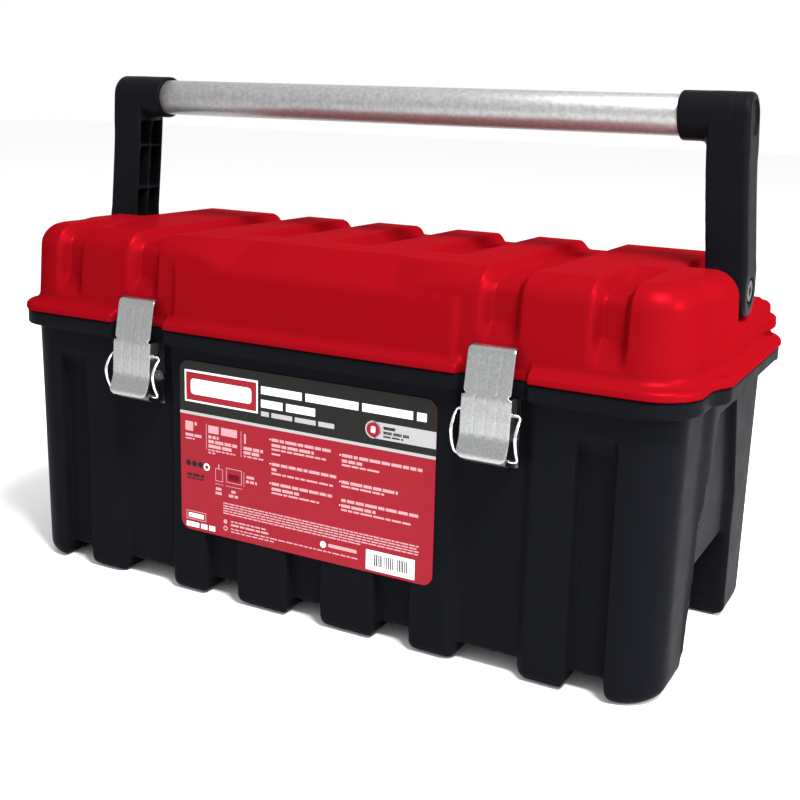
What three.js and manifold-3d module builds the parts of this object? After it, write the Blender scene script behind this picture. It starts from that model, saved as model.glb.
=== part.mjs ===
// Hand-carried plastic toolbox with a lift-out tray, millimetres, +Z up.
// X runs along the length, Y from front (-) to back (+). The origin is the middle of the base.
import * as THREE from 'three';
import { mergeVertices } from 'three/addons/utils/BufferGeometryUtils.js';
import Module from 'manifold-3d';

// ---------------------------------------------------------------- driving dimensions
const Y_SHIFT = 4.05;           // moves the drawing's depth datum to the middle of the overall depth
const WALL = 2.4;               // moulded wall
const GAP = 0.3;                // clearance between pieces that touch
const LEN_HALF = 215.5;         // half length over the rim, at the ends
const RIM_FRONT_HALF = 209.5;   // half length over the rim at the front corners
const RIM_FRONT = -103.4;
const RIM_REAR = 94.0;
const SEAM_Z = 156.0;           // parting line between tub and lid
const RIM_LOW_Z = 147.6;
const LID_TOP = 208.0;
const CHANNEL_Z = 203.0;
const TUB_FLOOR = 9.0;
const TUB = { z0: TUB_FLOOR, z1: RIM_LOW_Z };
const LATCH_X = 110.3;
const TUBE_R = 10.8, TUBE_BORE = 9.3, TUBE_Z = 283.9, TUBE_HALF = 199.0;
const ARM_IN = 183.5, ARM_OUT = 205.5, SOCKET_END = 168.0, SOCKET_R = 13.0;
const PIVOT_Z = 196.0, PIVOT_R = 3.0;
const ARM_LEAN = 4.0, LEAN_Z0 = 206.0, LEAN_Z1 = 262.0;   // the arms lean outwards towards the pivots
const WELL_X = 179.0;           // inner wall of the recess that each handle arm stands in
const HINGE_Y = 98.0, HINGE_Z = 156.05, KNUCKLE_R = 5.5, HINGE_PIN_R = 1.6;
const HINGE_LEN = 315.0, HINGE_KNUCKLES = 9;
const TRAY = { x: 190.0, y0: -85.0, y1: 75.0, z0: 100.0, z1: 146.0, wall: 2.0, rim: 3.0 };
const SHELF_Z = 140.0;

// ---------------------------------------------------------------- solid helpers
const wasm = await Module();
wasm.setup();
const { Manifold, Mesh: MMesh } = wasm;

function solid(geometry) {
  const g = geometry.clone();
  for (const k of Object.keys(g.attributes)) if (k !== 'position') g.deleteAttribute(k);
  const m = mergeVertices(g, 1e-4);
  return new Manifold(new MMesh({
    numProp: 3,
    vertProperties: new Float32Array(m.attributes.position.array),
    triVerts: new Uint32Array(m.index.array),
  }));
}
function surface(manifold) {
  const m = manifold.getMesh();
  const g = new THREE.BufferGeometry();
  g.setAttribute('position', new THREE.BufferAttribute(new Float32Array(m.vertProperties), 3));
  g.setIndex(new THREE.BufferAttribute(new Uint32Array(m.triVerts), 1));
  g.computeVertexNormals();
  return g;
}
const shapeOf = (pts) => new THREE.Shape(pts.map(([a, b]) => new THREE.Vector2(a, b)));
// prism of a (y, z) outline between two x positions
function prismX(pts, x0, x1) {
  const g = new THREE.ExtrudeGeometry(shapeOf(pts), { depth: x1 - x0, bevelEnabled: false, steps: 1, curveSegments: 8 });
  g.applyMatrix4(new THREE.Matrix4().makeBasis(new THREE.Vector3(0, 1, 0), new THREE.Vector3(0, 0, 1), new THREE.Vector3(1, 0, 0)));
  g.translate(x0, 0, 0);
  return solid(g);
}
// prism of an (x, z) outline between two y positions
function prismY(pts, y0, y1) {
  const g = new THREE.ExtrudeGeometry(shapeOf(pts), { depth: y1 - y0, bevelEnabled: false, steps: 1 });
  g.applyMatrix4(new THREE.Matrix4().makeBasis(new THREE.Vector3(1, 0, 0), new THREE.Vector3(0, 0, 1), new THREE.Vector3(0, -1, 0)));
  g.translate(0, y1, 0);
  return solid(g);
}
function box(x0, x1, y0, y1, z0, z1) {
  const g = new THREE.BoxGeometry(x1 - x0, y1 - y0, z1 - z0);
  g.translate((x0 + x1) / 2, (y0 + y1) / 2, (z0 + z1) / 2);
  return solid(g);
}
function cylX(r, x0, x1, y, z, seg = 20) {
  const g = new THREE.CylinderGeometry(r, r, x1 - x0, seg);
  g.rotateZ(Math.PI / 2);
  g.translate((x0 + x1) / 2, y, z);
  return solid(g);
}
function cylY(r, y0, y1, x, z, seg = 16) {
  const g = new THREE.CylinderGeometry(r, r, y1 - y0, seg);
  g.translate(x, (y0 + y1) / 2, z);
  return solid(g);
}
// closed skin through a stack of outlines with equal point counts, lowest first
function loft(rings) {
  const n = rings[0].length;
  const pos = [];
  for (const r of rings) for (const p of r) pos.push(p[0], p[1], p[2]);
  const idx = [];
  for (let k = 0; k + 1 < rings.length; k++) {
    for (let i = 0; i < n; i++) {
      const j = (i + 1) % n;
      const a = k * n + i, b = k * n + j, c = (k + 1) * n + j, d = (k + 1) * n + i;
      idx.push(a, b, c, a, c, d);
    }
  }
  const cap = (k, up) => {
    const flat = rings[k].map((p) => new THREE.Vector2(p[0], p[1]));
    for (const [a, b, c] of THREE.ShapeUtils.triangulateShape(flat, [])) {
      if (up) idx.push(k * n + a, k * n + b, k * n + c);
      else idx.push(k * n + a, k * n + c, k * n + b);
    }
  };
  cap(0, false);
  cap(rings.length - 1, true);
  const g = new THREE.BufferGeometry();
  g.setAttribute('position', new THREE.Float32BufferAttribute(pos, 3));
  g.setIndex(idx);
  return solid(g);
}
// plan outline, counter-clockwise: narrower front part (xf), wider from the step back (xr)
function plan({ yf, yr, xf, xr, rf, rr, s0, s1 }, inset, z, n = 4) {
  yf += inset; yr -= inset; xf -= inset; xr -= inset; rf = Math.max(rf - inset, 2); rr = Math.max(rr - inset, 2);
  const right = [];
  for (let i = 0; i <= n; i++) {
    const a = -Math.PI / 2 + (Math.PI / 2) * (i / n);
    right.push([xf - rf + rf * Math.cos(a), yf + rf + rf * Math.sin(a)]);
  }
  right.push([xf, s0], [xr, s1]);
  for (let i = 0; i <= n; i++) {
    const a = (Math.PI / 2) * (i / n);
    right.push([xr - rr + rr * Math.cos(a), yr - rr + rr * Math.sin(a)]);
  }
  const left = right.map(([x, y]) => [-x, y]).reverse();
  return [...right, ...left].map(([x, y]) => [x, y, z]);
}
const both = (fn) => { const a = fn(1), b = fn(-1); return a.add(b); };
// the same x interval on the right (s = 1) or on the left (s = -1)
const span = (s, a, b) => (s > 0 ? [a, b] : [-b, -a]);
const cutAll = (base, cuts) => cuts.reduce((m, c) => m.subtract(c), base);
const addAll = (base, adds) => adds.reduce((m, c) => m.add(c), base);

const object = new THREE.Group();
const root = new THREE.Group();
root.position.y = Y_SHIFT;
object.add(root);
const PAINT = {
  black: [0x101114, 0.45, 0.0], red: [0xd8101c, 0.35, 0.0], arm: [0x1c1d21, 0.5, 0.0],
  tube: [0xa9abad, 0.38, 0.9], zinc: [0xb9bcbc, 0.35, 0.9], steel: [0x9c9fa2, 0.3, 0.9],
  tray: [0x24262a, 0.5, 0.0], label: [0xb81f33, 0.4, 0.0],
};
function piece(name, manifold, paint) {
  const [color, roughness, metalness] = PAINT[paint];
  const mesh = new THREE.Mesh(surface(manifold), new THREE.MeshStandardMaterial({ color, roughness, metalness }));
  mesh.name = name;
  root.add(mesh);
}

// ---------------------------------------------------------------- tub
const tubTop = { yf: -97.7, yr: 88.0, xf: 202.0, xr: 204.5, rf: 23, rr: 23, s0: -52, s1: -34 };
const tubBase = { yf: -96.3, yr: 86.6, xf: 199.0, xr: 201.8, rf: 23, rr: 23, s0: -52, s1: -34 };
const rimPlan = { yf: RIM_FRONT + 1, yr: RIM_REAR - 1.2, xf: RIM_FRONT_HALF - 1, xr: LEN_HALF - 1, rf: 25, rr: 29, s0: -66, s1: -48 };
const lidRim = { yf: RIM_FRONT, yr: RIM_REAR, xf: RIM_FRONT_HALF, xr: LEN_HALF, rf: 26, rr: 30, s0: -66, s1: -48 };

// y of the drafted front and rear tub walls at a height
const lerp = (a, b, t) => a + (b - a) * t;
const frontY = (z) => lerp(tubBase.yf, tubTop.yf, (z - TUB.z0) / (TUB.z1 - TUB.z0));

const GROOVES = [            // [x from, x to, top at the face, top at the bottom of the groove, depth]
  [153.8, 174, 134.5, 123.5, 6],
  [44.6, 66, 51, 41, 6],
];
const CENTRE_GROOVE = [-10.6, 10.6, 51, 41, 6];
const PANEL = { x0: 92, x1: 128.4, y: -92.2 };     // flat recess behind each latch
const ARCH = { x: 163, y0: -42, y1: 30, yb0: -46, yb1: 33, z: 55 };

function grooveCut(x0, x1, zf, zd, depth, grow, rear) {
  const face = rear ? 88.5 : -98.5;
  const s = rear ? 1 : -1;
  const out = face + s * 20, deep = face - s * (depth + grow);
  const pts = [[out, -5], [out, zf + grow], [face, zf + grow], [deep, zd + grow], [deep, -5]];
  return prismX(rear ? pts.slice().reverse() : pts, x0 - grow, x1 + grow);
}
function tubCuts(grow) {
  const cuts = [];
  for (const rear of [false, true]) {
    for (const [a, b, zf, zd, d] of GROOVES) for (const s of [1, -1]) {
      const [x0, x1] = span(s, a, b);
      cuts.push(grooveCut(x0, x1, zf, zd, d, grow, rear));
    }
    const [a, b, zf, zd, d] = CENTRE_GROOVE;
    cuts.push(grooveCut(a, b, zf, zd, d, grow, rear));
  }
  for (const s of [1, -1]) {
    const [x0, x1] = span(s, PANEL.x0 - grow, PANEL.x1 + grow);
    cuts.push(box(x0, x1, -130, PANEL.y + grow, -5, 200));
    const [a0, a1] = span(s, ARCH.x - grow, 260);
    cuts.push(prismX([[ARCH.yb0 - grow, -5], [ARCH.yb1 + grow, -5], [ARCH.y1 + grow, ARCH.z + grow], [ARCH.y0 - grow, ARCH.z + grow]], a0, a1));
  }
  return cuts;
}
// a foot: full outline at the tub floor, drawn in at the ground
function foot(x0, x1, y0, y1, draw) {
  const r = (d, z) => [[x0 + d, y0 + d, z], [x1 - d, y0 + d, z], [x1 - d, y1 - d, z], [x0 + d, y1 - d, z]];
  return loft([r(draw, 0), r(draw * 0.35, 2.5), r(0, 7), r(0, TUB_FLOOR + 1.5)]);
}
function cornerLeg(s, rear) {
  const yo = rear ? tubBase.yr - 0.5 : tubBase.yf + 0.5, yi = rear ? ARCH.yb1 + 0.8 : ARCH.yb0 - 0.8;
  const xo = (rear ? tubBase.xr : tubBase.xf) - 0.5, xi = 174.6, r = 20;
  const ring = (d, z) => {
    const pts = [];
    const R = r - d;
    if (!rear) {
      pts.push([xi + d * 0.5, yo + d]);
      for (let i = 0; i <= 4; i++) { const a = -Math.PI / 2 + (Math.PI / 2) * i / 4; pts.push([xo - d - R + R * Math.cos(a), yo + d + R + R * Math.sin(a)]); }
      pts.push([xo - d, yi - d], [xi + d * 0.5, yi - d]);
    } else {
      pts.push([xi + d * 0.5, yi + d], [xo - d, yi + d]);
      for (let i = 0; i <= 4; i++) { const a = (Math.PI / 2) * i / 4; pts.push([xo - d - R + R * Math.cos(a), yo - d - R + R * Math.sin(a)]); }
      pts.push([xi + d * 0.5, yo - d]);
    }
    const out = s > 0 ? pts : pts.map(([x, y]) => [-x, y]).reverse();
    return out.map(([x, y]) => [x, y, z]);
  };
  return loft([ring(7, 0), ring(2.5, 2.5), ring(0, 8), ring(0, TUB_FLOOR + 1.5)]);
}
const knuckleSpan = (i) => {
  const w = HINGE_LEN / HINGE_KNUCKLES, x0 = -HINGE_LEN / 2 + i * w;
  return [x0 + 0.3, x0 + w - 0.3];
};
// hinge knuckles with a short web to the rim; upper = part of the lid
function knuckles(upper) {
  const parts = [];
  for (let i = 0; i < HINGE_KNUCKLES; i++) {
    if ((i % 2 === 1) !== upper) continue;
    const [a, b] = knuckleSpan(i);
    parts.push(cylX(KNUCKLE_R, a, b, HINGE_Y, HINGE_Z, 20));
    parts.push(upper ? box(a, b, 88.5, HINGE_Y, 156.2, HINGE_Z + KNUCKLE_R - 0.6) : box(a, b, 86.5, HINGE_Y, HINGE_Z - KNUCKLE_R + 0.6, 155.9));
  }
  return parts;
}
const hingeRelief = (r) => cylX(r, -HINGE_LEN / 2 - 0.6, HINGE_LEN / 2 + 0.6, HINGE_Y, HINGE_Z, 24);
const hingeBore = cylX(HINGE_PIN_R + GAP, -HINGE_LEN / 2 - 2, HINGE_LEN / 2 + 2, HINGE_Y, HINGE_Z, 16);

{
  let outer = loft([plan(tubBase, 0, TUB.z0), plan(tubTop, 0, TUB.z1), plan(tubTop, 0, 155.9)]);
  outer = outer.add(loft([plan(rimPlan, 0, RIM_LOW_Z), plan(rimPlan, 0, 155.9)]));
  outer = outer.subtract(hingeRelief(KNUCKLE_R + 0.5));
  outer = cutAll(outer, tubCuts(0));
  // rim kept behind each latch, set back from the front
  const shallow = both((s) => { const [a, b] = span(s, 91, 129.5); return box(a, b, -97.9, -90, RIM_LOW_Z + 0.4, 155.6); });
  outer = cutAll(outer, [1, -1].map((s) => { const [a, b] = span(s, 92.3, 128.4); return box(a, b, -130, -98.0, 130, 170); })).add(shallow);
  const feet = [];
  for (const s of [1, -1]) {
    for (const [a, b] of [[129, 153.2], [66.6, 91.4], [11.2, 44]]) {
      const [x0, x1] = span(s, a, b);
      feet.push(foot(x0, x1, tubBase.yf + 0.5, tubBase.yf + 26, 3));
    }
    for (const [a, b] of [[129, 153.2], [66.6, 91.4], [11.2, 44]]) {
      const [x0, x1] = span(s, a, b);
      feet.push(foot(x0, x1, tubBase.yr - 26, tubBase.yr - 0.5, 3));
    }
    feet.push(cornerLeg(s, false), cornerLeg(s, true));
  }
  outer = addAll(outer, feet);
  let cavity = loft([plan(tubBase, WALL, TUB.z0 + WALL), plan(tubTop, WALL, TUB.z1), plan(tubTop, WALL, 170)]);
  cavity = cutAll(cavity, tubCuts(WALL));
  // end shelves that carry the tray
  cavity = cutAll(cavity, [1, -1].map((s) => { const [a, b] = span(s, 186, 220); return box(a, b, -120, 120, SHELF_Z - 3, SHELF_Z); }));
  let shell = outer.subtract(cavity);
  shell = addAll(shell, knuckles(false)).subtract(hingeBore);
  piece('body_shell', shell, 'black');
}

// ---------------------------------------------------------------- lid
const lidWall = { yf: -97.0, yr: 88.0, xf: 203.0, xr: 209.0, rf: 24, rr: 26, s0: -58, s1: -40 };
const lidShoulder = { yf: -95.0, yr: 88.0, xf: 200.5, xr: 206.5, rf: 24, rr: 26, s0: -58, s1: -40 };
function lidCuts(g) {
  const cuts = [];
  // sloped back
  cuts.push(prismX([[62 - g, 230], [62 - g, 208.01], [86.5 - g, 167 - g * 0.4], [130, 167 - g * 0.4], [130, 230]].reverse(), -240, 240));
  for (const s of [1, -1]) {
    const [w0, w1] = span(s, WELL_X - g, 260);
    cuts.push(prismX([[-15.5 - g, 168 - g], [19 + g, 168 - g], [19 + g, 230], [-15.5 - g, 230]], w0, w1));
    cuts.push(prismX([[18, 186.5 - g], [48 - g * 0.3, 186 - g], [62 - g * 0.6, 176 - g], [78 - g, 167.5 - g * 0.4], [130, 167.5 - g * 0.4], [130, 230], [18, 230]], w0, w1));
    // front wall grooves, each running out over the top edge
    const [a0, a1] = span(s, 160 - g, 174 + g);
    cuts.push(prismX([[-130, 167], [-97.2, 167], [-89.5 + g, 180], [-89.5 + g, 197 - g], [-84 + g, 203 - g], [-62 + g, 203 - g], [-55 + g, 208.2 - g * 0.2], [-55 + g, 230], [-130, 230]], a0, a1));
    const [b0, b1] = span(s, 102.5 - g, 118.5 + g);
    cuts.push(prismX([[-130, 172], [-97.2, 172], [-89.5 + g, 183], [-89.5 + g, 197 - g], [-84 + g, 203 - g], [-70 + g, 203 - g], [-63 + g, 208.2 - g * 0.2], [-63 + g, 230], [-130, 230]], b0, b1));
    // channels between the raised ribs of the top
    for (const [c, d] of [[44.5, 67], [98.5, 123]]) {
      const [x0, x1] = span(s, c - g, d + g);
      cuts.push(prismX([[-46 - g, 208.2], [-38 - g, CHANNEL_Z - g], [130, CHANNEL_Z - g], [130, 230], [-46 - g, 230]], x0, x1));
    }
  }
  cuts.push(prismX([[-46 - g, 208.2], [-38 - g, CHANNEL_Z - g], [130, CHANNEL_Z - g], [130, 230], [-46 - g, 230]], -12 - g, 12 + g));
  return cuts;
}
{
  let outer = loft([plan(lidRim, 0, 156.2), plan(lidRim, 0, 160.8), plan(lidWall, 0, 166), plan(lidShoulder, 0, 196), plan(lidShoulder, 4, 203.8), plan(lidShoulder, 12, LID_TOP)]);
  outer = outer.subtract(hingeRelief(KNUCKLE_R + 0.5));
  outer = cutAll(outer, lidCuts(0));
  outer = cutAll(outer, [1, -1].map((s) => { const [a, b] = span(s, 92.3, 128.4); return box(a, b, -130, -97.8, 150, 170); }));
  // sloped badge field on the front edge of the top, left blank
  outer = outer.subtract(prismX([[-130, 230], [-130, 193], [-95.6, 193.5], [-84, 206.2], [-78, 208.2], [-78, 230]].reverse(), -52, 52));
  let cavity = loft([plan(lidWall, WALL, 150), plan(lidWall, WALL, 166), plan(lidShoulder, WALL, 196), plan(lidShoulder, WALL + 4, 201.5), plan(lidShoulder, WALL + 11, LID_TOP - WALL)]);
  cavity = cutAll(cavity, lidCuts(WALL));
  cavity = cavity.subtract(prismX([[-130, 230], [-130, 190], [-92.6, 190], [-81, 203.2], [-75, 205.2], [-75, 230]].reverse(), -55, 55));
  let shell = outer.subtract(cavity);
  // pivot bosses for the handle
  shell = shell.add(both((s) => { const [a, b] = span(s, 177, 183); return cylX(9, a, b, 0, PIVOT_Z, 20); }));
  shell = cutAll(shell, [1, -1].map((s) => { const [a, b] = span(s, 170, 200); return cylX(PIVOT_R + GAP, a, b, 0, PIVOT_Z, 16); }));
  shell = addAll(shell, knuckles(true)).subtract(hingeBore);
  piece('lid_shell', shell, 'red');
}
piece('hinge_pin', cylX(HINGE_PIN_R, -HINGE_LEN / 2 - 1, HINGE_LEN / 2 + 1, HINGE_Y, HINGE_Z, 12), 'steel');

// ---------------------------------------------------------------- carrying handle
piece('handle_tube', cylX(TUBE_R, -TUBE_HALF, TUBE_HALF, 0, TUBE_Z, 28).subtract(cylX(TUBE_BORE, -TUBE_HALF - 2, TUBE_HALF + 2, 0, TUBE_Z, 24)), 'tube');
const armProfile = (() => {
  const pts = [];
  for (let i = 0; i <= 10; i++) { const a = (-10 + 200 * i / 10) * Math.PI / 180; pts.push([12.9 * Math.cos(a), TUBE_Z + 12.9 * Math.sin(a)]); }
  pts.push([-12.5, 258], [-12.4, 238], [-12.9, 212]);
  for (let i = 0; i <= 10; i++) { const a = (190 + 160 * i / 10) * Math.PI / 180; pts.push([14.4 * Math.cos(a), PIVOT_Z + 14.4 * Math.sin(a)]); }
  pts.push([12.9, 212], [12.4, 238], [12.5, 258]);
  return pts;
})();
function handleArm(s) {
  const [a, b] = span(s, ARM_IN, ARM_OUT);
  let m = prismX(armProfile, a, b);
  const [c, d] = span(s, SOCKET_END, ARM_IN + 2);
  m = m.add(cylX(SOCKET_R, c, d, 0, TUBE_Z, 28));
  const [t0, t1] = span(s, SOCKET_END - 5, TUBE_HALF + GAP);
  m = m.subtract(cylX(TUBE_R + GAP, t0, t1, 0, TUBE_Z, 28));
  // open cells on the inner side, either side of a centre web, with two cross ribs
  const [p0, p1] = span(s, ARM_IN - 5, ARM_OUT - 2.6);
  for (const [y0, y1] of [[-9.7, -0.8], [0.8, 9.7]]) for (const [z0, z1] of [[207, 224.2], [225.7, 251.2], [252.7, 268]]) m = m.subtract(box(p0, p1, y0, y1, z0, z1));
  const [q0, q1] = span(s, ARM_IN - 5, ARM_OUT + 5);
  m = m.subtract(cylX(PIVOT_R + GAP, q0, q1, 0, PIVOT_Z, 16));
  const [h0, h1] = span(s, ARM_OUT - 3, ARM_OUT + 5);
  m = m.subtract(cylX(6.3, h0, h1, 0, PIVOT_Z, 20));
  m = m.warp((v) => { v[0] += s * ARM_LEAN * Math.min(1, Math.max(0, (LEAN_Z1 - v[2]) / (LEAN_Z1 - LEAN_Z0))); });
  return m;
}
function pivotPin(s) {
  const [a, b] = span(s, 173.6, (ARM_OUT + ARM_LEAN) - 2.4);
  const [c, d] = span(s, (ARM_OUT + ARM_LEAN) - 2.6, (ARM_OUT + ARM_LEAN) - 0.6);
  const [e, f] = span(s, 173.6, 175.6);
  const [g, h] = span(s, (ARM_OUT + ARM_LEAN) - 1.6, (ARM_OUT + ARM_LEAN) + 2);
  return cylX(PIVOT_R, a, b, 0, PIVOT_Z, 16).add(cylX(5.6, c, d, 0, PIVOT_Z, 20)).add(cylX(4.6, e, f, 0, PIVOT_Z, 16)).subtract(cylX(2.4, g, h, 0, PIVOT_Z, 16));
}
for (const [s, side] of [[-1, 'left'], [1, 'right']]) {
  piece(`handle_arm_${side}`, handleArm(s), 'arm');
  piece(`handle_pivot_pin_${side}`, pivotPin(s), 'steel');
}

// ---------------------------------------------------------------- latches
const BAIL = { y: -103.8, z: 117.0 };       // wire turns in the bracket's curl here
const LINK = { y: -101.8, z: 139.5 };       // plate turns on the wire here
const WIRE_R = 0.9, PLATE_T = 1.2;
// round wire bent along straight runs, mitred at each bend
function wire(points) {
  const v = points.map((p) => new THREE.Vector3(...p));
  const n = v.length, seg = 8;
  const dir = [];
  for (let i = 0; i + 1 < n; i++) dir.push(v[i + 1].clone().sub(v[i]).normalize());
  let side = new THREE.Vector3(0, 0.3, 1).cross(dir[0]).normalize();
  const pos = [];
  for (let i = 0; i < n; i++) {
    const before = dir[Math.max(i - 1, 0)], after = dir[Math.min(i, n - 2)];
    const up = before.clone().cross(side).normalize();
    const normal = before.clone().add(after).normalize();
    for (let k = 0; k < seg; k++) {
      const a = (2 * Math.PI * k) / seg;
      const q = side.clone().multiplyScalar(WIRE_R * Math.cos(a)).addScaledVector(up, WIRE_R * Math.sin(a));
      q.addScaledVector(before, -q.dot(normal) / before.dot(normal));
      pos.push(v[i].x + q.x, v[i].y + q.y, v[i].z + q.z);
    }
    side = side.applyQuaternion(new THREE.Quaternion().setFromUnitVectors(before, after)).normalize();
  }
  const idx = [];
  for (let i = 0; i + 1 < n; i++) for (let k = 0; k < seg; k++) {
    const j = (k + 1) % seg, a = i * seg + k, b = i * seg + j, c = (i + 1) * seg + j, d = (i + 1) * seg + k;
    idx.push(a, b, c, a, c, d);
  }
  for (let k = 1; k + 1 < seg; k++) { idx.push(0, k + 1, k); const o = (n - 1) * seg; idx.push(o, o + k, o + k + 1); }
  const g = new THREE.BufferGeometry();
  g.setAttribute('position', new THREE.Float32BufferAttribute(pos, 3));
  g.setIndex(idx);
  return solid(g);
}
// strip of sheet metal that follows a (y, z) line, between two x positions
function strip(line, t, x0, x1) {
  const n = line.length, a = [], b = [];
  for (let i = 0; i < n; i++) {
    const p = line[Math.max(i - 1, 0)], q = line[Math.min(i + 1, n - 1)];
    const dy = q[0] - p[0], dz = q[1] - p[1], l = Math.hypot(dy, dz);
    a.push([line[i][0] + (dz / l) * t / 2, line[i][1] - (dy / l) * t / 2]);
    b.push([line[i][0] - (dz / l) * t / 2, line[i][1] + (dy / l) * t / 2]);
  }
  return prismX([...a, ...b.reverse()], x0, x1);
}
for (const [s, side] of [[-1, 'left'], [1, 'right']]) {
  const cx = s * LATCH_X;
  // pressed plate: hooked top, leaning face, flared pull lip
  let plate = strip([[-98.7, 172.0], [-101.0, 171.8], [-102.3, 170.5], [-106.6, 147.5], [-107.9, 126.3]], PLATE_T, cx - 12.6, cx + 12.6);
  plate = plate.add(strip([[-106.5, 148.2], [-107.9, 126.2]], PLATE_T, cx - 13.35, cx + 13.35));
  plate = plate.add(strip([[-107.9, 126.5], [-109.6, 122.8], [-111.0, 119.6], [-110.8, 117.0]], PLATE_T, cx - 13.35, cx + 13.35));
  for (const e of [1, -1]) {
    const [f0, f1] = e > 0 ? [cx + 12.15, cx + 13.35] : [cx - 13.35, cx - 12.15];
    plate = plate.add(prismX([[-106.4, 148.4], [-107.8, 127.4], [-106.4, 127.4], [-104.4, 129.5], [-100.0, 133.0], [-98.9, 136.5], [-98.9, 147.2], [-100.2, 148.4]], f0, f1));
    plate = plate.subtract(cylX(WIRE_R + GAP, f0 - 1, f1 + 1, LINK.y, LINK.z, 12));
  }
  piece(`latch_plate_${side}`, plate, 'zinc');

  const w = 17.0;
  piece(`latch_wire_${side}`, wire([
    [cx - 10.6, LINK.y, LINK.z], [cx - w, LINK.y, LINK.z], [cx - w, -109.4, 130.4], [cx - w, BAIL.y, BAIL.z],
    [cx + w, BAIL.y, BAIL.z], [cx + w, -109.4, 130.4], [cx + w, LINK.y, LINK.z], [cx + 10.6, LINK.y, LINK.z]]), 'steel');

  // riveted bracket: base on the recess panel, tongue out to a curl round the wire
  let bracket = box(cx - 13, cx + 13, PANEL.y - 1.5, PANEL.y - GAP, 111, 147.5);
  bracket = bracket.add(prismX([[PANEL.y - GAP, 111], [PANEL.y - GAP, 112.4], [BAIL.y + 0.5, 115.4], [BAIL.y, 113.7]], cx - 11.5, cx + 11.5));
  bracket = bracket.add(cylX(2.9, cx - 11.5, cx + 11.5, BAIL.y, BAIL.z, 16));
  bracket = bracket.subtract(cylX(WIRE_R + GAP, cx - 20, cx + 20, BAIL.y, BAIL.z, 12));
  for (const e of [1, -1]) bracket = bracket.subtract(cylY(1.9, PANEL.y - 5, PANEL.y + 5, cx + e * 9.6, 127.5, 12));
  piece(`latch_bracket_${side}`, bracket, 'zinc');
  for (const [e, n] of [[-1, 'inner'], [1, 'outer']]) {
    const rx = cx + s * e * 9.6;
    // tubular rivet: head in front of the bracket, shank to just short of the panel
    const rivet = cylY(3.3, PANEL.y - 2.9, PANEL.y - 1.8, rx, 127.5, 14).add(cylY(1.6, PANEL.y - 2.9, PANEL.y - GAP, rx, 127.5, 12)).subtract(cylY(0.9, PANEL.y - 4, PANEL.y - 1.4, rx, 127.5, 10));
    piece(`latch_rivet_${n}_${side}`, rivet, 'steel');
  }
}

// ---------------------------------------------------------------- tray
{
  const t = TRAY;
  const tp = (inset, z) => {
    const x = t.x - 5 - inset, y0 = t.y0 + 5 + inset, y1 = t.y1 - 5 - inset, r = Math.max(8 - inset, 2);
    const pts = [];
    for (const [cx, cy, a0] of [[x - r, y0 + r, -90], [x - r, y1 - r, 0], [-x + r, y1 - r, 90], [-x + r, y0 + r, 180]]) {
      for (let i = 0; i <= 3; i++) { const a = (a0 + 90 * i / 3) * Math.PI / 180; pts.push([cx + r * Math.cos(a), cy + r * Math.sin(a), z]); }
    }
    return pts;
  };
  let m = loft([tp(1.2, t.z0), tp(0, t.z1)]);
  m = m.add(loft([tp(-5, SHELF_Z + GAP), tp(-5, SHELF_Z + GAP + 2.2)]));
  const mid = (t.y0 + t.y1) / 2;
  const xi = t.x - 5 - 1.2 - t.wall, yi0 = t.y0 + 5 + 1.2 + t.wall, yi1 = t.y1 - 5 - 1.2 - t.wall;
  const cells = [];
  const row = (ya, yb, cutsAt) => { for (let i = 0; i + 1 < cutsAt.length; i++) cells.push([cutsAt[i] + 1, cutsAt[i + 1] - 1, ya, yb]); };
  row(yi0, mid - 5, [-xi - 1, -62, 62, xi + 1]);
  row(mid + 5, yi1, [-xi - 1, -92, 0, 92, xi + 1]);
  for (const [x0, x1, y0, y1] of cells) m = m.subtract(box(x0, x1, y0, y1, t.z0 + 2, t.z1 + 20));
  // hollow centre spine, then the raised grip on top of it
  m = m.subtract(box(-xi, -66, mid - 3, mid + 3, t.z0 - 5, t.z1 - 4.5)).subtract(box(66, xi, mid - 3, mid + 3, t.z0 - 5, t.z1 - 4.5)).subtract(box(-64, 64, mid - 3, mid + 3, t.z0 - 5, t.z1 - 4.5));
  let grip = prismY([[-64, t.z1 - 4], [64, t.z1 - 4], [60, t.z1 + 12], [48, t.z1 + 24], [-48, t.z1 + 24], [-60, t.z1 + 12]], mid - 5, mid + 5);
  grip = grip.subtract(prismY([[-44, t.z1 + 2], [44, t.z1 + 2], [44, t.z1 + 12], [38, t.z1 + 17], [-38, t.z1 + 17], [-44, t.z1 + 12]], mid - 20, mid + 20));
  m = m.add(grip);
  piece('tray', m, 'tray');
}

// ---------------------------------------------------------------- front label
{
  const x0 = -82.7, x1 = 80.2, z0 = 39.7, z1 = 140.0, t0 = GAP, t1 = 0.7, r = 6;
  const pts = [];
  for (const [cx, cz, a0] of [[x1 - r, z0 + r, -90], [x1 - r, z1 - r, 0], [x0 + r, z1 - r, 90], [x0 + r, z0 + r, 180]]) {
    for (let i = 0; i <= 3; i++) { const a = (a0 + 90 * i / 3) * Math.PI / 180; pts.push([cx + r * Math.cos(a), cz + r * Math.sin(a)]); }
  }
  const g = new THREE.ExtrudeGeometry(shapeOf(pts), { depth: t1 - t0, bevelEnabled: false, steps: 1 });
  g.applyMatrix4(new THREE.Matrix4().makeBasis(new THREE.Vector3(1, 0, 0), new THREE.Vector3(0, 0, 1), new THREE.Vector3(0, -1, 0)));
  // lean the sheet back with the drafted wall
  const p = g.attributes.position;
  for (let i = 0; i < p.count; i++) p.setY(i, p.getY(i) + frontY(p.getZ(i)) - t0);
  piece('label', solid(g), 'label');
}

export default object;
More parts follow.
